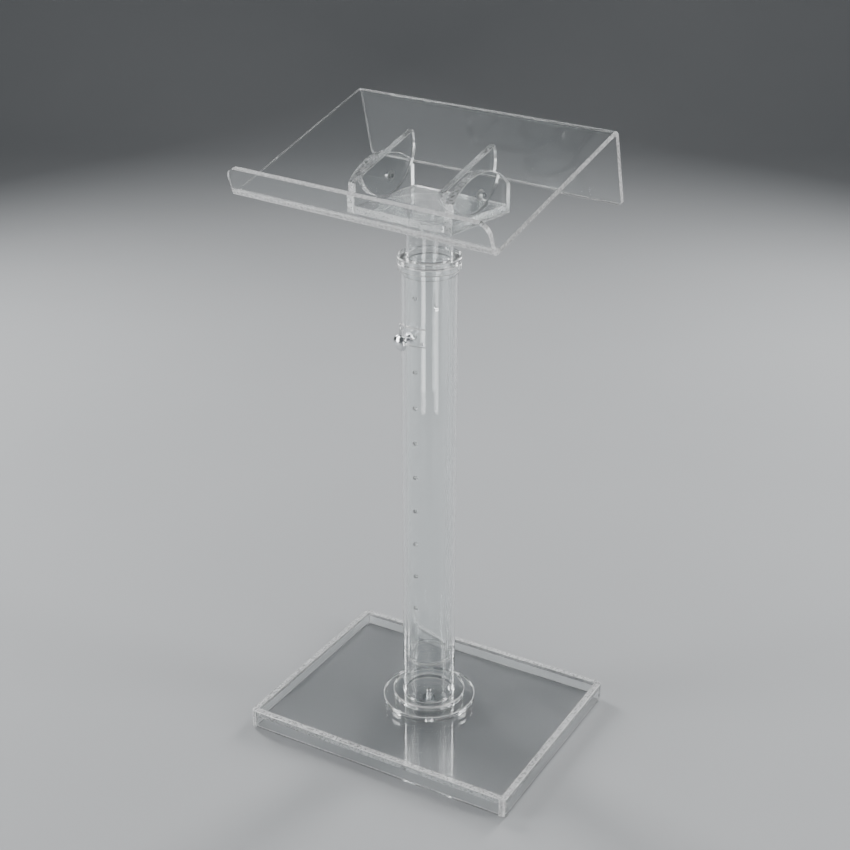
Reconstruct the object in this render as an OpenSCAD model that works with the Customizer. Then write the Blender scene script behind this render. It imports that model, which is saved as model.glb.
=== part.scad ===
// Clear acrylic presentation lectern: boxed floor base, telescopic tube column with a
// pull-pin latch, and a bent reading board that tilts on two pivots.
// Origin: centre of the base on the floor. X = width, -Y = reader's side, Z = up.

/* [Base] */
// Width of the base, side to side
base_w = 500; // [400:5:640]
// Depth of the base, front to back
base_d = 385; // [320:5:480]
// Height of the four walls of the base
wall_h = 34; // [28:1:50]
// Thickness of the walls
wall_t = 10; // [8:1:12]
// Thickness of the inset top plate
plate_t = 15; // [10:1:16]
// Radius of the upright outer corners
corner_r = 8; // [2:1:8]
// Height of the clear bumper feet
foot_h = 3; // [2:0.5:6]

/* [Column] */
// Angle that the column is turned to on its base bolt
column_turn = -8; // [-30:1:30]
// Outside diameter of the outer tube
outer_od = 90; // [88:1:94]
// Wall of both tubes
tube_wall = 4; // [3:0.5:4]
// Height of the top of the outer tube above the floor
tube_top = 846.5; // [840:0.5:880]
// Outside diameter of the inner tube
inner_od = 75; // [70:1:75]
// Radius of the foot flange
flange_r = 80; // [70:1:100]
// Thickness of the foot flange and of the two collar rings
flange_t = 10; // [8:1:12]
// Outside radius of the ring that stands on the foot flange
ring_r = 62.5; // [55:0.5:66]
// Thickness of that ring
ring_t = 10; // [4:1:12]
// Thickness of the guide ring at the foot of the inner tube
foot_ring_t = 5; // [4:1:12]
// Outside diameter of the collar at the top of the outer tube
collar_od = 102; // [100:1:112]

/* [Height lock] */
// Distance between the height holes of the inner tube
hole_pitch = 62; // [50:1:66]
// Number of height holes
hole_count = 10; // [4:1:10]
// Diameter of the height holes
hole_d = 7; // [6.6:0.2:9]
// Height of the latch pin above the floor
latch_z = 733; // [700:1:760]
// Height of the latch pad
pad_h = 30; // [24:1:44]
// Half of the angle that the latch pad covers
pad_half_angle = 31; // [22:1:40]
// Distance that the plunger travels from pulled to locked
plunger_travel = 5; // [5:0.5:6]
// Diameter of the plunger's knob
knob_d = 26; // [16:1:30]

/* [Head] */
// Height of the underside of the head plate
head_z = 922; // [920:1:960]
// Radius of the flange under the head plate
head_flange_r = 69.5; // [60:0.5:70]
// Thickness of that flange
head_flange_t = 3; // [3:0.5:12]
// Overall width of the head, over both lugs
head_w = 200; // [170:2:240]
// Depth of the head plate and the lugs
head_d = 144; // [130:2:170]
// Thickness of the head plate
head_t = 12; // [10:1:12]
// Thickness of the two upright lugs
lug_t = 15; // [10:1:18]
// Radius of the arched top of the lugs
lug_r = 96; // [90:1:100]
// Height of the lugs over the head plate's underside
lug_h = 77; // [70:1:77]
// Height of the pivots over the head plate's underside
pivot_h = 41; // [41:1:46]
// Distance of the pivots behind the column's axis
pivot_y = 5; // [0:1:10]

/* [Desk] */
// Slope of the reading board
desk_tilt = 20; // [0:1:20]
// Width of the reading board
board_w = 488; // [400:4:600]
// Length of the sloping face, front fold to back fold
board_len = 332; // [300:2:400]
// Thickness of the bent sheet
sheet_t = 8; // [6:1:10]
// Distance of the front fold in front of the pivots, along the slope
fold_u = 174; // [150:1:190]
// Distance of the board's underside over the pivots
board_lift = 43; // [43:0.5:46]
// Height of the front lip
lip_h = 54; // [35:1:70]
// Length of the back flap
flap_len = 124; // [80:2:150]
// Angle that the back flap leans in from square to the board
flap_lean = 7; // [0:1:12]
// Inside radius of the bends
bend_r = 4; // [3:0.5:8]
// Radius of the two half-round cheeks under the board
cheek_r = 68; // [60:1:68]
// Thickness of the cheeks
cheek_t = 12; // [8:1:15]

/* [Hidden] */
$fn = 96;
chamfer = 0.8;        // polished edge of the sheets
glue_gap = 0.05;      // adhesive film between glued faces
run_gap = 0.08;       // running clearance of the telescoping tubes
pin_gap = 0.05;       // running clearance of pins and bolts
swivel_gap = 0.05;    // gap over and under the base plate, where the column turns
EPS = 0.01;

base_h = foot_h + wall_h;                 // top of the base
outer_r = outer_od / 2;
outer_bore = outer_r - tube_wall;
inner_r = inner_od / 2;
inner_bore = inner_r - tube_wall;
tube_z = base_h + flange_t;               // foot of the outer tube
collar_r = collar_od / 2;
bush_len = 20;

mast_drop = 606;                          // length of inner tube below the latch pin
mast_z = latch_z - mast_drop;             // foot of the inner tube
rest_hole = 1;                            // the second hole from the top is at the pin

bolt_r = 4;                               // M8 base bolt
bolt_head_r = 6.5;
bolt_head_h = 8;
washer_r = 12;
washer_t = 2;
bolt_rise = 5.5;                          // bolt end that stands over the foot flange

pad_r = outer_r + 5.6;                    // outer face of the latch pad
pad_z0 = latch_z - 13;
// angle from the reader's side and height over the pin of each screw of the pad
pad_screw_places = [[pad_half_angle - 6.5, -6.5], [6.5 - pad_half_angle, pad_h - 20]];
grub_angle = 52;
grub_z = latch_z + 49;
grub_r = 3;
pin_r = 3;
barrel_r = 6;
barrel_nose = outer_bore + 0.5;           // inner end of the barrel, from the column axis
barrel_end = pad_r + 7.4;                 // outer end of the barrel
barrel_collar_r = 7.5;
nut_t = 5;                                // nut that locks the barrel to the pad
nut_r = 10;
nose_t = 1;                               // wall that closes the barrel's nose
chamber_r = 4.6;                          // spring chamber in the barrel
chamber_end = barrel_end - 1.6;
locked_tip = inner_bore - 0.5;            // pin tip when it is locked
pulled_tip = locked_tip + plunger_travel; // pin tip when it is pulled, as stored
shoulder_r = 4.4;
shoulder_t = 1.5;
shoulder_y = barrel_nose + nose_t + 0.3 + plunger_travel;
knob_base = barrel_end + 0.5 + plunger_travel;
knob_len = 15.5;
wire_r = 0.3;
coil_r = 3.8;                             // mean radius of the spring
spring_turns = 5;

pivot_z = head_z + pivot_h;
lug_in = head_w / 2 - lug_t;              // inner face of a lug
pivot_washer_t = 1;
cheek_out = lug_in - pivot_washer_t;      // outer face of a cheek
cheek_in = cheek_out - cheek_t;
pivot_screw_r = 2.5;
pivot_screw_hold = 5;                     // depth of each pivot screw in its cheek
pivot_screw_rise = 2.5;                   // its end that stands out of the lug
pivot_barrel_r = 5;
back_u = board_len - fold_u;              // back fold, along the slope from the pivots
lip_corner_r = 20;
flap_corner_r = 5;

clear = [0.86, 0.93, 0.95, 0.45];
edge_clear = [0.78, 0.90, 0.94, 0.55];
chrome = [0.80, 0.81, 0.83];
steel = [0.62, 0.63, 0.65];
nylon = [0.93, 0.93, 0.90];

// ---------- shared shapes ----------

// A slab between two corners with all twelve edges chamfered.
module slab(lo, hi, c = chamfer) {
    hull() {
        translate(lo + [c, c, 0]) cube(hi - lo - [2 * c, 2 * c, 0]);
        translate(lo + [c, 0, c]) cube(hi - lo - [2 * c, 0, 2 * c]);
        translate(lo + [0, c, c]) cube(hi - lo - [0, 2 * c, 2 * c]);
    }
}

// A ring or tube round Z from z0 to z1, with its four edges chamfered.
module ring(r_out, r_in, z0, z1, c = chamfer) {
    rotate_extrude() polygon([
        [r_in, z0 + c], [r_in + c, z0], [r_out - c, z0], [r_out, z0 + c],
        [r_out, z1 - c], [r_out - c, z1], [r_in + c, z1], [r_in, z1 - c]
    ]);
}

// A disc round Z from z0 to z1, with its two edges chamfered.
module disc(r, z0, z1, c = chamfer) {
    rotate_extrude() polygon([
        [0, z0], [r - c, z0], [r, z0 + c], [r, z1 - c], [r - c, z1], [0, z1]
    ]);
}

// Places its children on the column, which is turned on the base bolt.
module on_column() rotate([0, 0, column_turn]) children();

// A rod along -Y from y0 to y1 (distances in front of the column's axis) at the pin's height.
module latch_rod(r, y0, y1) {
    translate([0, -y0, latch_z]) rotate([90, 0, 0]) cylinder(r = r, h = y1 - y0);
}

// Places its children, drawn along +Z, at the latch pin, pointing at the reader.
module on_latch(y0) translate([0, -y0, latch_z]) rotate([90, 0, 0]) children();

// A rod along X between x0 and x1 through the pivots.
module pivot_rod(r, x0, x1) {
    translate([min(x0, x1), pivot_y, pivot_z]) rotate([0, 90, 0])
        cylinder(r = r, h = abs(x1 - x0));
}

// Places a desk outline: 2D x runs up the slope from the pivots, 2D y squarely off it.
module on_desk() on_column() translate([0, pivot_y, pivot_z])
    rotate([desk_tilt, 0, 0]) rotate([90, 0, 90]) children();

// ---------- base ----------

module base_plate() color(clear) difference() {
    x1 = base_w / 2 - wall_t - glue_gap;
    y1 = base_d / 2 - wall_t - glue_gap;
    slab([-x1, -y1, base_h - plate_t], [x1, y1, base_h], 0.5);
    translate([0, 0, base_h - plate_t - 1])
        cylinder(r = bolt_r + pin_gap, h = plate_t + 2);
}

// A front or back wall, butted between the side walls.
module cross_wall(side) {
    x1 = base_w / 2 - wall_t - glue_gap;
    y0 = side < 0 ? -base_d / 2 : base_d / 2 - wall_t;
    slab([-x1, y0, foot_h], [x1, y0 + wall_t, base_h]);
}
module base_front_wall() color(edge_clear) cross_wall(-1);
module base_back_wall() color(edge_clear) cross_wall(1);

// A side wall over the whole depth, with its two outer corners rounded.
module side_wall(side) {
    x0 = side < 0 ? -base_w / 2 : base_w / 2 - wall_t;
    xc = side * (base_w / 2 - corner_r);
    yc = base_d / 2 - corner_r;
    c = chamfer;
    intersection() {
        slab([x0, -base_d / 2, foot_h], [x0 + wall_t, base_d / 2, base_h]);
        hull() {
            for (y = [-yc, yc]) translate([xc, y, foot_h]) {
                translate([0, 0, c]) cylinder(r = corner_r, h = wall_h - 2 * c, $fn = 64);
                cylinder(r = corner_r - c, h = wall_h, $fn = 64);
            }
            translate([x0 + (side < 0 ? wall_t - 1 : 0), -base_d / 2, foot_h])
                cube([1, base_d, wall_h]);
        }
    }
}
module base_left_wall() color(edge_clear) side_wall(-1);
module base_right_wall() color(edge_clear) side_wall(1);

// Four clear bumpers under the ends of the side walls.
module base_feet() color(nylon)
    for (x = [-1, 1], y = [-1, 1])
        translate([x * (base_w / 2 - wall_t / 2), y * (base_d / 2 - 12), 0])
            disc(wall_t / 2 - 0.4, 0, foot_h - glue_gap, 0.5);

// ---------- column ----------

module column_flange() color(clear) on_column() difference() {
    disc(flange_r, base_h + swivel_gap, tube_z);
    translate([0, 0, base_h - 1]) cylinder(r = bolt_r, h = flange_t + 2);
}

module flange_ring() color(clear) on_column()
    ring(ring_r, outer_r + glue_gap, tube_z + glue_gap, tube_z + ring_t);

// Socket-head bolt: head under the base plate, end over the foot flange.
module base_bolt() color(chrome) on_column() {
    top = tube_z + bolt_rise;
    seat = base_h - plate_t - swivel_gap - washer_t;
    difference() {
        union() {
            translate([0, 0, seat - EPS])
                cylinder(r = bolt_r - 0.02, h = top - seat - 1 + EPS);
            translate([0, 0, top - 1]) cylinder(r1 = bolt_r - 0.02, r2 = bolt_r - 1, h = 1);
            disc(bolt_head_r, seat - bolt_head_h, seat, 0.6);
        }
        translate([0, 0, seat - bolt_head_h - 1]) cylinder(r = 3.46, h = 5, $fn = 6);
    }
}

module base_washer() color(steel) on_column() translate([0, 0, base_h - plate_t - swivel_gap])
    ring(washer_r, bolt_r + 0.2, -washer_t, 0, 0.3);

module outer_tube() color(clear) on_column() difference() {
    ring(outer_r, outer_bore, tube_z + glue_gap, tube_top, 0.6);
    latch_rod(barrel_r + 0.02, outer_bore - 4, outer_r + 4);
    on_grub(outer_bore - 4) cylinder(r = grub_r, h = tube_wall + 8);
}

module collar_ring() color(clear) on_column()
    ring(collar_r, outer_r + glue_gap, tube_top - flange_t, tube_top);

module collar_cap() color(clear) on_column()
    ring(collar_r, inner_r + run_gap, tube_top + glue_gap, tube_top + flange_t);

module collar_bush() color(clear) on_column()
    ring(outer_bore - glue_gap, inner_r + run_gap, tube_top - bush_len, tube_top, 0.5);

// Places its children, drawn along +Z, on the latch pad's screw positions.
module on_pad_screws(r0)
    for (s = pad_screw_places) rotate([0, 0, s[0]])
        translate([0, -r0, latch_z + s[1]]) rotate([90, 0, 0]) children();

// Saddle pad glued and screwed to the front of the outer tube.
module latch_pad() color(edge_clear) on_column() difference() {
    intersection() {
        ring(pad_r, outer_r + glue_gap, pad_z0, pad_z0 + pad_h, 0.6);
        translate([0, 0, pad_z0 - 1]) linear_extrude(pad_h + 2) polygon([
            [0, 0],
            [-2 * pad_r * sin(pad_half_angle), -2 * pad_r * cos(pad_half_angle)],
            [2 * pad_r * sin(pad_half_angle), -2 * pad_r * cos(pad_half_angle)]
        ]);
    }
    latch_rod(barrel_r + 0.02, outer_r - 4, pad_r + 4);
    on_pad_screws(outer_r - 4) cylinder(r = 1.5, h = 14);
}

// Round-headed screws through the pad.
module pad_screws() color(chrome) on_column() on_pad_screws(outer_r + 0.2) {
    cylinder(r = 1.48, h = pad_r - outer_r);
    translate([0, 0, pad_r - outer_r - 0.2]) rotate_extrude() intersection() {
        translate([0, -1.2]) circle(r = 2.9);
        square([3, 2]);
    }
}

// Body of the latch: nose through the pad and the tube, collar at the outer end.
module plunger_barrel() color(chrome) on_column() difference() {
    union() {
        latch_rod(barrel_r, barrel_nose, pad_r + nut_t + 0.5);
        on_latch(pad_r + nut_t) disc(barrel_collar_r, 0, barrel_end - pad_r - nut_t, 0.5);
    }
    latch_rod(chamber_r, barrel_nose + nose_t, chamber_end);
    latch_rod(pin_r + pin_gap, barrel_nose - 1, barrel_end + 1);
}

// Hexagon nut round the barrel, between the pad and the barrel's collar.
module latch_nut() color(chrome) on_column() difference() {
    on_latch(pad_r) intersection() {
        cylinder(r = nut_r, h = nut_t, $fn = 6);
        disc(nut_r, 0, nut_t, 1);
    }
    latch_rod(barrel_r + 0.02, pad_r - 1, pad_r + nut_t + 1);
}

// Places its children, drawn along +Z, at the grub screw, pointing outwards.
module on_grub(r0) rotate([0, 0, grub_angle]) translate([0, -r0, grub_z])
    rotate([90, 0, 0]) children();

// Small slotted screw in the tube wall that takes up the play of the inner tube.
module grub_screw() color(chrome) on_column() on_grub(inner_r + 0.3) difference() {
    cylinder(r = grub_r - 0.02, h = outer_r - inner_r);
    translate([-grub_r - 1, -0.45, outer_r - inner_r - 1.2]) cube([2 * grub_r + 2, 0.9, 3]);
}

// ---------- plunger ----------

module plunger_pin() color(steel) on_column() {
    latch_rod(pin_r, pulled_tip + 0.6, knob_base + 8);
    on_latch(pulled_tip) cylinder(r1 = pin_r - 0.6, r2 = pin_r, h = 0.6 + EPS);
    latch_rod(shoulder_r, shoulder_y, shoulder_y + shoulder_t);
}

// Half width of the knob at a height h over its base: a neck, a flare and a domed end.
function knob_r(h) =
    let (r = knob_d / 2, neck = 5.6)
    h < 3 ? neck
    : h < 11 ? neck + (r - neck) * (1 - cos(180 * (h - 3) / 8)) / 2
    : r * sqrt(max(0, 1 - pow((h - 11) / 4.6, 2)));

module plunger_knob() color(chrome) on_column() difference() {
    on_latch(knob_base) rotate_extrude() polygon(concat(
        [[0, 0], [4.8, 0]],
        [for (i = [1 : 24]) let (h = 0.6 + (knob_len - 0.6) * i / 24) [knob_r(h), h]],
        [[0, knob_len]]
    ));
    latch_rod(pin_r, knob_base - 1, knob_base + 8);
}

// Compression spring in the barrel, between the pin's shoulder and the chamber's end.
module plunger_spring() color(steel) on_column() {
    seat = shoulder_y + shoulder_t + wire_r + 0.05;
    rise = chamber_end - wire_r - 0.05 - seat;
    sides = 6;
    steps = 16 * spring_turns;
    on_latch(seat) polyhedron(
        points = [for (i = [0 : steps], j = [0 : sides - 1])
            let (turn = 22.5 * i, a = 360 * j / sides, r = coil_r + wire_r * cos(a))
            [r * cos(turn), r * sin(turn), rise * i / steps + wire_r * sin(a)]],
        faces = concat(
            [for (i = [0 : steps - 1], j = [0 : sides - 1])
                let (k = (j + 1) % sides, n = i * sides)
                [n + j, n + sides + j, n + sides + k, n + k]],
            [[for (j = [0 : sides - 1]) j],
             [for (j = [sides - 1 : -1 : 0]) steps * sides + j]]
        )
    );
}

// ---------- mast ----------

module inner_tube() color(clear) on_column() difference() {
    ring(inner_r, inner_bore, mast_z, head_z - glue_gap, 0.6);
    for (i = [0 : hole_count - 1])
        translate([0, -inner_bore + 4, latch_z + (rest_hole - i) * hole_pitch])
            rotate([90, 0, 0]) cylinder(r = hole_d / 2, h = tube_wall + 8);
}

// Guide ring round the foot of the inner tube, running in the outer tube.
module mast_foot_ring() color(clear) on_column()
    ring(outer_bore - run_gap, inner_r + glue_gap, mast_z, mast_z + foot_ring_t, 0.5);

module head_flange() color(clear) on_column()
    ring(head_flange_r, inner_r + glue_gap, head_z - head_flange_t,
        head_z - glue_gap, 0.5);

module head_plate() color(clear) on_column() {
    x1 = lug_in - glue_gap;
    slab([-x1, -head_d / 2, head_z], [x1, head_d / 2, head_z + head_t], 0.5);
}

// Outline of a lug: 2D x is depth, 2D y is height over the head plate's underside.
module lug_outline(inset) intersection() {
    translate([-head_d / 2 + inset, inset])
        square([head_d - 2 * inset, lug_h - 2 * inset]);
    translate([0, lug_h - lug_r]) circle(r = lug_r - inset);
}

// An upright lug glued to a side of the head plate, with the bore of its pivot barrel.
module lug(side) on_column() difference() {
    x0 = side < 0 ? -head_w / 2 : lug_in;
    translate([x0, 0, head_z]) hull() {
        translate([chamfer, 0, 0]) rotate([90, 0, 90])
            linear_extrude(lug_t - 2 * chamfer) lug_outline(0);
        rotate([90, 0, 90]) linear_extrude(lug_t) lug_outline(chamfer);
    }
    pivot_rod(pivot_barrel_r + 0.02, side * (lug_in - 2), side * (head_w / 2 + 2));
}
module left_lug() color(edge_clear) lug(-1);
module right_lug() color(edge_clear) lug(1);

// Metal sleeve in a lug that the pivot screw turns in.
module pivot_barrel(side) color(chrome) on_column() difference() {
    pivot_rod(pivot_barrel_r, side * lug_in, side * head_w / 2);
    pivot_rod(pivot_screw_r + pin_gap, side * (lug_in - 1), side * (head_w / 2 + 1));
}
module left_pivot_barrel() pivot_barrel(-1);
module right_pivot_barrel() pivot_barrel(1);

// Clear friction washer between a lug and its cheek.
module pivot_washer(side) color(nylon) on_column() difference() {
    pivot_rod(9, side * (cheek_out + 0.05), side * (lug_in - 0.05));
    pivot_rod(pivot_screw_r + pin_gap, side * (cheek_out - 1), side * (lug_in + 1));
}
module left_pivot_washer() pivot_washer(-1);
module right_pivot_washer() pivot_washer(1);

// ---------- desk ----------

// Points of an arc about c, from angle a0 to a1.
function arc(c, r, a0, a1, n = 16) =
    [for (i = [0 : n]) let (a = a0 + (a1 - a0) * i / n) c + r * [cos(a), sin(a)]];

// Side view of the bent sheet: lip, front bend, sloping board, back bend and flap.
module board_outline() {
    r_out = bend_r + sheet_t;
    top = board_lift + sheet_t;
    turn = 90 + flap_lean;                     // angle that the back bend turns through
    set_back = r_out * tan(turn / 2);          // tangent length of the back bend
    front = [-fold_u + r_out, board_lift + r_out];
    back = [back_u - set_back, top - r_out];
    reach = (flap_len - set_back) * [cos(turn), -sin(turn)];
    in_corner = back + bend_r * [sin(turn), cos(turn)];
    out_corner = back + r_out * [sin(turn), cos(turn)];
    polygon(concat(
        [[-fold_u, board_lift + lip_h]],
        arc(front, r_out, 180, 270),
        arc(back, bend_r, 90, 90 - turn),
        [in_corner + reach, out_corner + reach],
        arc(back, r_out, 90 - turn, 90),
        arc(front, bend_r, 270, 180),
        [[-fold_u + sheet_t, board_lift + lip_h]]
    ));
}

// Cutter for one rounded free corner of the sheet, in the corner's own plane:
// the corner is at the origin, and the sheet lies towards +X and +Y.
module corner_cutter(r) difference() {
    translate([-1, -1]) square([r + 1, r + 1]);
    translate([r, r]) circle(r = r);
}

module reading_board() color(clear) difference() {
    on_desk() translate([0, 0, -board_w / 2]) linear_extrude(board_w) board_outline();
    // rounded upper corners of the lip
    for (m = [0, 1]) on_column() translate([0, pivot_y, pivot_z]) rotate([desk_tilt, 0, 0])
        mirror([m, 0, 0])
            translate([-board_w / 2, -fold_u - 1, board_lift + lip_h]) rotate([-90, 0, 0])
                linear_extrude(sheet_t + 2) corner_cutter(lip_corner_r);
    // rounded lower corners of the flap
    for (m = [0, 1]) on_column() translate([0, pivot_y, pivot_z])
        rotate([desk_tilt, 0, 0]) translate([0, back_u, board_lift + sheet_t])
        rotate([-flap_lean, 0, 0]) mirror([m, 0, 0])
            translate([-board_w / 2, -sheet_t - 1, -flap_len]) rotate([90, 0, 0])
                mirror([0, 0, 1]) linear_extrude(sheet_t + 2) corner_cutter(flap_corner_r);
}

// Half disc glued under the board by its straight edge, with a blind pivot hole.
module cheek(side) difference() {
    x0 = side < 0 ? -cheek_out : cheek_in;
    on_desk() translate([0, board_lift - glue_gap, x0]) hull() {
        translate([0, 0, chamfer]) linear_extrude(cheek_t - 2 * chamfer)
            cheek_outline(cheek_r, 0);
        linear_extrude(cheek_t) cheek_outline(cheek_r - chamfer, chamfer);
    }
    on_column() pivot_rod(pivot_screw_r, side * (cheek_out - pivot_screw_hold),
        side * (cheek_out + 2));
}
module cheek_outline(r, inset) intersection() {
    circle(r = r);
    translate([-r, -r - inset]) square([2 * r, r]);
}
module left_cheek() color(edge_clear) cheek(-1);
module right_cheek() color(edge_clear) cheek(1);

// Headless screw that turns in the sleeve of its lug and holds the cheek.
module pivot_screw(side) color(chrome) on_column() difference() {
    tip = head_w / 2 + pivot_screw_rise;
    union() {
        pivot_rod(pivot_screw_r - 0.02, side * (cheek_out - pivot_screw_hold), side * (tip - 0.5));
        translate([side * (tip - 0.5), pivot_y, pivot_z]) rotate([0, side * 90, 0])
            translate([0, 0, -EPS]) cylinder(r1 = pivot_screw_r - 0.02, r2 = pivot_screw_r - 0.5,
                h = 0.5 + EPS);
    }
    translate([side * tip, pivot_y, pivot_z]) rotate([0, 90, 0])
        cylinder(r = 1.45, h = 5, center = true, $fn = 6);
}
module left_pivot_screw() pivot_screw(-1);
module right_pivot_screw() pivot_screw(1);

base_plate();
base_front_wall();
base_back_wall();
base_left_wall();
base_right_wall();
base_feet();
column_flange();
flange_ring();
base_bolt();
base_washer();
outer_tube();
collar_ring();
collar_cap();
collar_bush();
latch_pad();
pad_screws();
plunger_barrel();
latch_nut();
grub_screw();
plunger_pin();
plunger_knob();
plunger_spring();
inner_tube();
mast_foot_ring();
head_flange();
head_plate();
left_lug();
right_lug();
left_pivot_barrel();
right_pivot_barrel();
left_pivot_washer();
right_pivot_washer();
reading_board();
left_cheek();
right_cheek();
left_pivot_screw();
right_pivot_screw();
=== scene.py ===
import math

import bmesh
import bpy
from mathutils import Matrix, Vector

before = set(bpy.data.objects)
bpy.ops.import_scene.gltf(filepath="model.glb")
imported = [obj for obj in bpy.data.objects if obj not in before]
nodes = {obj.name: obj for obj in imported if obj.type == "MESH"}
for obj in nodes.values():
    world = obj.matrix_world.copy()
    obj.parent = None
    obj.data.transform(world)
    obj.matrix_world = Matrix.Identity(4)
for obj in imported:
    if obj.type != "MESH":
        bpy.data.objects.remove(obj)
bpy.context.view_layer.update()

# ---------- camera ----------
# The lectern is seen from the right of the reader's side and from above.
AZIMUTH, ELEVATION = math.radians(29.90), math.radians(24.64)
CAMERA_PLACE = (1.0940, -1.9168, 1.5785)
SENSOR_MM, LENS_MM = 36.0, 63.08
camera_data = bpy.data.cameras.new("camera")
camera_data.sensor_width = SENSOR_MM
camera_data.lens = LENS_MM
camera_data.clip_end = 60
camera = bpy.data.objects.new("camera", camera_data)
camera.location = CAMERA_PLACE
camera.rotation_euler = (math.pi / 2 - ELEVATION, 0, AZIMUTH)
bpy.context.scene.collection.objects.link(camera)
bpy.context.scene.camera = camera

# The acrylic is many clear sheets deep, so light has to pass more surfaces than usual.
CLEAR_BOUNCES = 40
cycles = bpy.context.scene.cycles
cycles.max_bounces = CLEAR_BOUNCES
cycles.transmission_bounces = CLEAR_BOUNCES
cycles.transparent_max_bounces = CLEAR_BOUNCES
cycles.glossy_bounces = 12
cycles.diffuse_bounces = 4


# ---------- material nodes ----------
class Graph:
    """A small helper to lay out a material's nodes."""

    def __init__(self, name):
        self.material = bpy.data.materials.new(name)
        self.material.use_nodes = True
        self.tree = self.material.node_tree
        self.tree.nodes.clear()
        self.output = self.add("ShaderNodeOutputMaterial")
        self.coords = self.add("ShaderNodeTexCoord").outputs["Object"]

    def add(self, kind, **settings):
        node = self.tree.nodes.new(kind)
        for key, value in settings.items():
            setattr(node, key, value)
        return node

    def link(self, source, target):
        self.tree.links.new(source, target)

    def mapped(self, scale=(1, 1, 1), turn=(0, 0, 0)):
        node = self.add("ShaderNodeMapping")
        node.inputs["Scale"].default_value = scale
        node.inputs["Rotation"].default_value = turn
        self.link(self.coords, node.inputs["Vector"])
        return node.outputs["Vector"]

    def noise(self, vector, scale, detail=3.0, rough=0.5, distortion=0.0):
        node = self.add("ShaderNodeTexNoise")
        node.inputs["Scale"].default_value = scale
        node.inputs["Detail"].default_value = detail
        node.inputs["Roughness"].default_value = rough
        node.inputs["Distortion"].default_value = distortion
        self.link(vector, node.inputs["Vector"])
        return node.outputs["Fac"]

    def ramp(self, value, low, high, to_low=0.0, to_high=1.0):
        node = self.add("ShaderNodeMapRange", clamp=True)
        node.inputs["From Min"].default_value = low
        node.inputs["From Max"].default_value = high
        node.inputs["To Min"].default_value = to_low
        node.inputs["To Max"].default_value = to_high
        self.link(value, node.inputs["Value"])
        return node.outputs["Result"]

    def math(self, operation, a, b):
        node = self.add("ShaderNodeMath", operation=operation)
        for socket, value in zip(node.inputs, (a, b)):
            if isinstance(value, (int, float)):
                socket.default_value = value
            else:
                self.link(value, socket)
        return node.outputs[0]

    def dot(self, a, b):
        node = self.add("ShaderNodeVectorMath", operation="DOT_PRODUCT")
        self.link(a, node.inputs[0])
        if isinstance(b, (tuple, Vector)):
            node.inputs[1].default_value = b
        else:
            self.link(b, node.inputs[1])
        return node.outputs["Value"]

    def mix(self, factor, a, b):
        node = self.add("ShaderNodeMix", data_type="RGBA")
        self.link(factor, node.inputs[0])
        for socket, value in ((node.inputs[6], a), (node.inputs[7], b)):
            if isinstance(value, tuple):
                socket.default_value = (*value, 1.0)
            else:
                self.link(value, socket)
        return node.outputs[2]

    def bump(self, height, strength, distance):
        node = self.add("ShaderNodeBump")
        node.inputs["Strength"].default_value = strength
        node.inputs["Distance"].default_value = distance
        self.link(height, node.inputs["Height"])
        return node.outputs["Normal"]


# ---------- where the acrylic is cut, chamfered or bent ----------
TURN = math.radians(-8)  # of the column on its bolt, with all that it carries
TILT = math.radians(20)  # of the board at rest
PIVOT = Vector((0.000696, 0.004951, 0.963))  # midway between the board's two pivots
LOCAL_X = Vector((math.cos(TURN), math.sin(TURN), 0.0))
BOARD_NORMAL = Vector((math.sin(TURN) * math.sin(TILT), -math.cos(TURN) * math.sin(TILT),
                       math.cos(TILT)))
BOARD_SLOPE = Vector((-math.sin(TURN) * math.cos(TILT), math.cos(TURN) * math.cos(TILT),
                      math.sin(TILT)))
LIP_TOP, FLAP_FOOT = 0.0965, -0.0709  # heights of the board's free edges off its pivots
FRONT_BEND, BACK_BEND = -0.160, 0.150  # where the bends start, along the slope
FRONT_FADE, BACK_FADE = 0.004, 0.006  # lengths along the slope over which their milk and painted light fade
FRONT_RISE, BACK_RISE = (0.055, 0.061), (0.040, 0.047)  # and heights off the pivots
EDGE_STEP = 0.0002  # the small height over which a free edge turns milky
SAWN_MILK_AND_HIGHLIGHT, FRONT_BEND_PAINTED_LIGHT, BACK_MILK = 0.75, 0.85, 0.4  # milk on the sawn edges and the back bend, partly dulled cut and partly painted highlight, and the painted light band over the shade under the front fold

# Cosines between a face's normal and the axis of a sheet or ring. They are near 0 on its
# cut side, half way on a chamfer and near 1 on its two large faces.
SIDE_TO_CHAMFER = (0.35, 0.55)
CHAMFER_TO_FACE = (0.78, 0.93)
SIDE_TO_BOARD_EDGE = (0.35, 0.60)  # the same for the board, whose axis runs along its width
DRILLED_TO_WALL = (0.70, 0.90)  # the same for a tube, against the direction off its middle
POLISHED_CUT, TURNED_CUT = 0.5, 0.12  # how milky the cut sides of sheets and rings are, partly dulled cut and partly painted highlight


def own_normal(g):
    """The true normal in the object's own space, so that it turns with its body."""
    turn = g.add("ShaderNodeVectorTransform", vector_type="NORMAL", convert_from="WORLD",
                 convert_to="OBJECT")
    g.link(g.add("ShaderNodeNewGeometry").outputs["True Normal"], turn.inputs["Vector"])
    unit = g.add("ShaderNodeVectorMath", operation="NORMALIZE")
    g.link(turn.outputs["Vector"], unit.inputs[0])
    return unit.outputs["Vector"]


def sheet_edge(g, axis):
    """On a flat sheet whose faces are square to axis: half on its cut edges, which are flame
    polished, and 1 on their small scraped chamfers. This milk is partly the dulled cut and
    partly a painted highlight on their lit rims."""
    facing = g.math("ABSOLUTE", g.dot(own_normal(g), axis), 0.0)
    cut = g.ramp(facing, *CHAMFER_TO_FACE, 1.0, 0.0)
    chamfer = g.ramp(facing, *SIDE_TO_CHAMFER, POLISHED_CUT, 1.0)
    return g.math("MULTIPLY", cut, chamfer)


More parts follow.
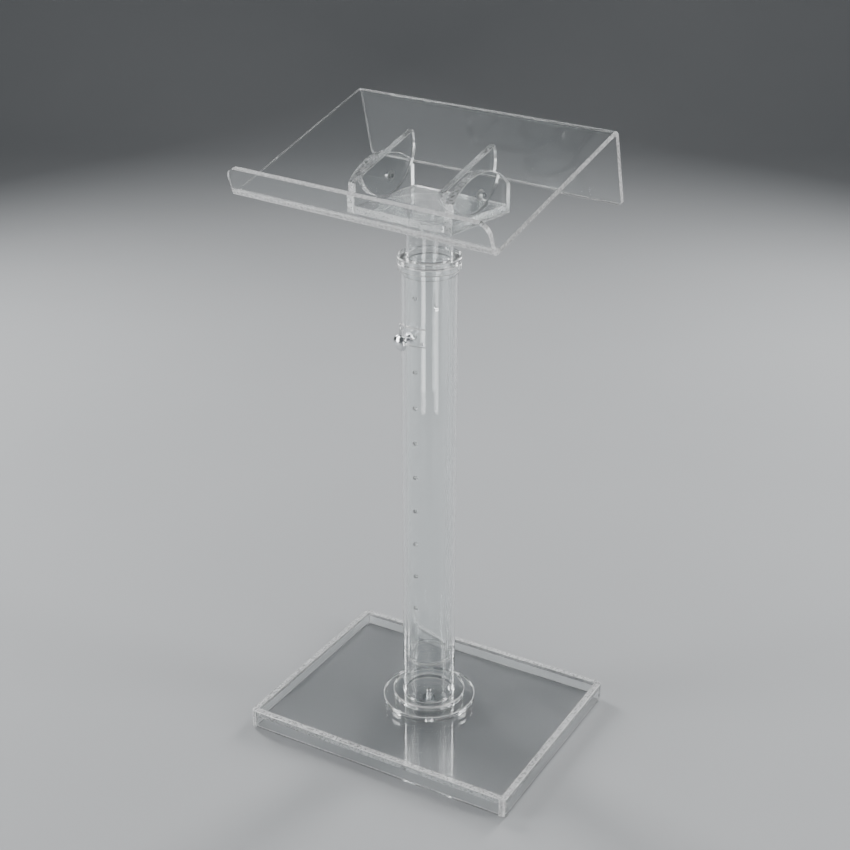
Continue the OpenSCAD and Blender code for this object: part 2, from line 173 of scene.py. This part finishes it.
def ring_edge(g, axis):
    """On a turned and polished ring round Z: nearly all on its chamfers, little on its side, a
    milk that is partly the dulled cut and partly a painted highlight on the lit rims.
    """
    facing = g.math("ABSOLUTE", g.dot(own_normal(g), axis), 0.0)
    cut = g.ramp(facing, *CHAMFER_TO_FACE, 1.0, 0.0)
    chamfer = g.ramp(facing, *SIDE_TO_CHAMFER, TURNED_CUT, 1.0)
    return g.math("MULTIPLY", cut, chamfer)


def tube_edge(g, axis):
    """1 on the ends and drilled holes of a tube that stands round Z, whatever the axis: a milk
    that is partly the dulled cut and partly a painted highlight on their lit rims.
    """
    flat = g.add("ShaderNodeVectorMath", operation="MULTIPLY")
    flat.inputs[1].default_value = (1, 1, 0)
    g.link(g.coords, flat.inputs[0])
    unit = g.add("ShaderNodeVectorMath", operation="NORMALIZE")
    g.link(flat.outputs["Vector"], unit.inputs[0])
    facing = g.math("ABSOLUTE", g.dot(own_normal(g), unit.outputs["Vector"]), 0.0)
    return g.ramp(facing, *DRILLED_TO_WALL, 1.0, 0.0)


def bent_edge(g, axis):
    """Milky on the sawn sides of the bent board and on the free edges of its lip and flap,
    partly dulled cut and partly painted highlight; a painted light band across the front bend
    over the shade under the fold, and weaker milk along the top of the back bend."""
    facing = g.math("ABSOLUTE", g.dot(own_normal(g), axis), 0.0)
    sides = g.ramp(facing, *SIDE_TO_BOARD_EDGE, 0.0, SAWN_MILK_AND_HIGHLIGHT)
    rise = g.math("SUBTRACT", g.dot(g.coords, BOARD_NORMAL), PIVOT.dot(BOARD_NORMAL))
    lip = g.ramp(rise, LIP_TOP - EDGE_STEP, LIP_TOP, 0.0, SAWN_MILK_AND_HIGHLIGHT)
    flap = g.ramp(rise, FLAP_FOOT, FLAP_FOOT + EDGE_STEP, SAWN_MILK_AND_HIGHLIGHT, 0.0)
    free = g.math("MAXIMUM", lip, flap)
    run = g.math("SUBTRACT", g.dot(g.coords, BOARD_SLOPE), PIVOT.dot(BOARD_SLOPE))
    # The front bend gets a painted light band over the shade under the fold.
    front = g.math("MULTIPLY", g.ramp(run, FRONT_BEND, FRONT_BEND + FRONT_FADE, FRONT_BEND_PAINTED_LIGHT, 0.0),
                   g.ramp(rise, *FRONT_RISE, 1.0, 0.0))
    back = g.math("MULTIPLY", g.ramp(run, BACK_BEND, BACK_BEND + BACK_FADE, 0.0, BACK_MILK),
                  g.ramp(rise, *BACK_RISE))
    return g.math("MAXIMUM", g.math("MAXIMUM", sides, free), g.math("MAXIMUM", front, back))


# ---------- materials ----------
ACRYLIC_IOR, SOFT_IOR = 1.49, 1.45
# Edges are whiter than faces, part of their painted highlight.
FACE_TINT, EDGE_MILK_AND_HIGHLIGHT_TINT = (0.985, 0.995, 0.995), (1.0, 1.0, 1.0)
MILK_AND_HIGHLIGHT_TRANSMISSION = 0.25  # the share of light that passes where the edge milk and painted highlight are strongest
DEPTH_TINT, DEPTH_DENSITY = (0.72, 0.90, 0.93, 1.0), 0.4  # faint blue green of thick sheet


def acrylic(name, edge_of, axis=(0, 0, 1)):
    """Clear cast acrylic: glass-like faces with faint smears and wiping scratches, and cut edges
    that are polished but a little milky, partly dulled cut and partly a painted highlight on
    their lit rims."""
    g = Graph(name)
    shader = g.add("ShaderNodeBsdfPrincipled")
    shader.inputs["IOR"].default_value = ACRYLIC_IOR
    g.link(shader.outputs["BSDF"], g.output.inputs["Surface"])
    edge = edge_of(g, axis)
    saw = g.ramp(g.noise(g.mapped(), 260.0, 3.0), 0.38, 0.62)
    # Milk on the edges lowers their transmission: partly the dulled cut, partly a painted
    # highlight for their lit rims.
    milk_and_highlight = g.math("MULTIPLY", edge, g.ramp(saw, 0.0, 1.0, 0.6, 1.0))
    clear = g.ramp(milk_and_highlight, 0.0, 1.0, 1.0, MILK_AND_HIGHLIGHT_TRANSMISSION)
    g.link(clear, shader.inputs["Transmission Weight"])
    # faint smears on the faces, saw marks on the edges
    smear = g.ramp(g.noise(g.mapped(), 9.0, 4.0, 0.55, 0.6), 0.55, 0.80, 0.0, 0.035)
    marks = g.math("MULTIPLY", edge, g.ramp(saw, 0.0, 1.0, 0.02, 0.12))
    g.link(g.math("ADD", smear, marks), shader.inputs["Roughness"])
    # hair scratches, mostly along one direction, over the slow waves of cast sheet
    scratch = g.ramp(g.noise(g.mapped((400, 6, 6), (0.3, 0.2, 0.5)), 1.0, 1.0), 0.60, 0.72)
    waves = g.noise(g.mapped(), 14.0, 1.0)
    height = g.math("ADD", g.math("MULTIPLY", scratch, 0.15), waves)
    g.link(g.bump(height, 0.03, 0.002), shader.inputs["Normal"])
    # A whiter base colour on the edges, part of their painted highlight.
    g.link(g.mix(edge, FACE_TINT, EDGE_MILK_AND_HIGHLIGHT_TINT), shader.inputs["Base Color"])
    absorb = g.add("ShaderNodeVolumeAbsorption")
    absorb.inputs["Color"].default_value = DEPTH_TINT
    absorb.inputs["Density"].default_value = DEPTH_DENSITY
    g.link(absorb.outputs["Volume"], g.output.inputs["Volume"])
    return g.material


def metal(name, color, rough, streak):
    """Plated or turned metal with fine streaks and faint finger marks."""
    g = Graph(name)
    shader = g.add("ShaderNodeBsdfPrincipled")
    shader.inputs["Metallic"].default_value = 1.0
    g.link(shader.outputs["BSDF"], g.output.inputs["Surface"])
    fine = g.noise(g.mapped(streak), 1.0, 2.0)
    marks = g.noise(g.mapped(), 160.0, 3.0)
    g.link(g.ramp(g.math("ADD", fine, marks), 0.7, 1.3, 0.5 * rough, 1.6 * rough),
           shader.inputs["Roughness"])
    dark = tuple(0.86 * c for c in color)
    g.link(g.mix(g.ramp(marks, 0.4, 0.65), color, dark), shader.inputs["Base Color"])
    g.link(g.bump(fine, 0.06, 0.0002), shader.inputs["Normal"])
    return g.material


def soft_plastic(name, color, clear):
    """Translucent moulded plastic or rubber with a fine grain."""
    g = Graph(name)
    shader = g.add("ShaderNodeBsdfPrincipled")
    shader.inputs["IOR"].default_value = SOFT_IOR
    shader.inputs["Transmission Weight"].default_value = clear
    g.link(shader.outputs["BSDF"], g.output.inputs["Surface"])
    grain = g.noise(g.mapped(), 700.0, 2.0)
    cloud = g.noise(g.mapped(), 120.0, 3.0)
    g.link(g.ramp(cloud, 0.3, 0.7, 0.25, 0.42), shader.inputs["Roughness"])
    g.link(g.mix(cloud, color, tuple(0.9 * c for c in color)), shader.inputs["Base Color"])
    g.link(g.bump(grain, 0.15, 0.0002), shader.inputs["Normal"])
    return g.material


SHEET_Z = acrylic("acrylic_flat", sheet_edge)
SHEET_Y = acrylic("acrylic_cross_wall", sheet_edge, (0, 1, 0))
SHEET_X = acrylic("acrylic_side_wall", sheet_edge, (1, 0, 0))
TUBE = acrylic("acrylic_tube", tube_edge)
RING = acrylic("acrylic_ring", ring_edge)
LUG = acrylic("acrylic_lug", sheet_edge, LOCAL_X)
BOARD = acrylic("acrylic_board", bent_edge, LOCAL_X)
CHROME = metal("chrome_plate", (0.86, 0.87, 0.88), 0.06, (300, 300, 20))
STEEL = metal("turned_steel", (0.62, 0.63, 0.65), 0.22, (40, 40, 900))
NYLON = soft_plastic("nylon", (0.90, 0.91, 0.90), 0.6)
BUMPER = soft_plastic("bumper", (0.86, 0.90, 0.91), 0.8)

LOOKS = {
    "base_plate": SHEET_Z, "base_front_wall": SHEET_Y, "base_back_wall": SHEET_Y,
    "base_left_wall": SHEET_X, "base_right_wall": SHEET_X, "base_feet": BUMPER,
    "column_flange": RING, "flange_ring": RING, "base_bolt": CHROME, "base_washer": STEEL,
    "outer_tube": TUBE, "collar_ring": RING, "collar_cap": RING, "collar_bush": TUBE,
    "latch_pad": TUBE, "pad_screws": CHROME, "plunger_barrel": CHROME,
    "latch_nut": CHROME, "plunger_spring": STEEL, "grub_screw": CHROME, "plunger_pin": STEEL,
    "plunger_knob": CHROME, "inner_tube": TUBE, "mast_foot_ring": RING,
    "head_flange": RING, "head_plate": SHEET_Z, "left_lug": LUG, "right_lug": LUG,
    "left_pivot_barrel": CHROME, "right_pivot_barrel": CHROME,
    "left_pivot_washer": NYLON, "right_pivot_washer": NYLON,
    "reading_board": BOARD, "left_cheek": LUG, "right_cheek": LUG,
    "left_pivot_screw": CHROME, "right_pivot_screw": CHROME,
}
for name, material in LOOKS.items():
    nodes[name].data.materials.clear()
    nodes[name].data.materials.append(material)


# ---------- studio ----------
FLOOR_FRONT, FLOOR_BACK, FLOOR_SIDE, BACKDROP_TOP = -6.0, 4.0, 8.0, 6.0
SWEEP_RADIUS, SWEEP_STEPS = 2.0, 12


def floor():
    """A pale floor that curves up into a backdrop, square to the camera's direction."""
    mesh = bpy.data.meshes.new("floor")
    bm = bmesh.new()
    rows = []
    profile = [(FLOOR_FRONT, 0.0), (FLOOR_BACK, 0.0)]
    for i in range(1, SWEEP_STEPS + 1):
        a = math.radians(90 * i / SWEEP_STEPS)
        profile.append((FLOOR_BACK + SWEEP_RADIUS * math.sin(a),
                        SWEEP_RADIUS - SWEEP_RADIUS * math.cos(a)))
    profile.append((FLOOR_BACK + SWEEP_RADIUS, BACKDROP_TOP))
    for y, z in profile:
        rows.append([bm.verts.new((x, y, z)) for x in (-FLOOR_SIDE, FLOOR_SIDE)])
    for a, b in zip(rows, rows[1:]):
        bm.faces.new((a[0], a[1], b[1], b[0])).smooth = True
    bm.to_mesh(mesh)
    bm.free()
    obj = bpy.data.objects.new("floor", mesh)
    obj.rotation_euler = (0, 0, AZIMUTH)
    bpy.context.scene.collection.objects.link(obj)
    g = Graph("floor_paint")
    shader = g.add("ShaderNodeBsdfPrincipled")
    shader.inputs["Roughness"].default_value = 0.75
    tone = g.noise(g.mapped(), 1.3, 3.0)
    g.link(g.mix(tone, (0.34, 0.35, 0.36), (0.38, 0.39, 0.40)), shader.inputs["Base Color"])
    g.link(shader.outputs["BSDF"], g.output.inputs["Surface"])
    mesh.materials.append(g.material)


def softbox(name, place, aim, size, power):
    """A white rectangular lamp, its size in metres and its power in watts."""
    data = bpy.data.lights.new(name, "AREA")
    data.shape = "RECTANGLE"
    data.size, data.size_y = size
    data.energy = power
    obj = bpy.data.objects.new(name, data)
    obj.location = place
    obj.rotation_euler = (Vector(aim) - Vector(place)).to_track_quat("-Z", "Y").to_euler()
    bpy.context.scene.collection.objects.link(obj)


def around(angle, distance, height):
    """A place round the lectern, at an angle from the camera's side."""
    a = AZIMUTH + math.radians(angle)
    return (distance * math.sin(a), -distance * math.cos(a), height)


floor()
softbox("left strip", around(-26, 1.35, 0.38), (0, 0, 0.55), (0.42, 0.7), 3)
softbox("right strip", around(33, 1.35, 0.38), (0, 0, 0.55), (0.42, 0.7), 3)
softbox("left", around(-78, 2.4, 1.2), (0, 0, 0.6), (0.7, 2.2), 45)
softbox("right", around(75, 2.4, 1.2), (0, 0, 0.6), (0.7, 2.2), 45)
softbox("left rim", around(-138, 2.8, 2.0), (0, 0, 0.6), (0.7, 1.9), 85)
softbox("right rim", around(140, 2.8, 2.0), (0, 0, 0.6), (0.7, 1.9), 85)
softbox("top", around(0, 0.2, 3.2), (0, 0, 0), (1.6, 1.2), 8)
softbox("front fill", around(8, 3.3, 2.7), (0, 0, 0.7), (2.6, 1.6), 12)

world = bpy.data.worlds.new("studio")
bpy.context.scene.world = world
world.use_nodes = True
background = world.node_tree.nodes["Background"]
background.inputs["Color"].default_value = (0.9, 0.95, 1.0, 1.0)
background.inputs["Strength"].default_value = 0.14
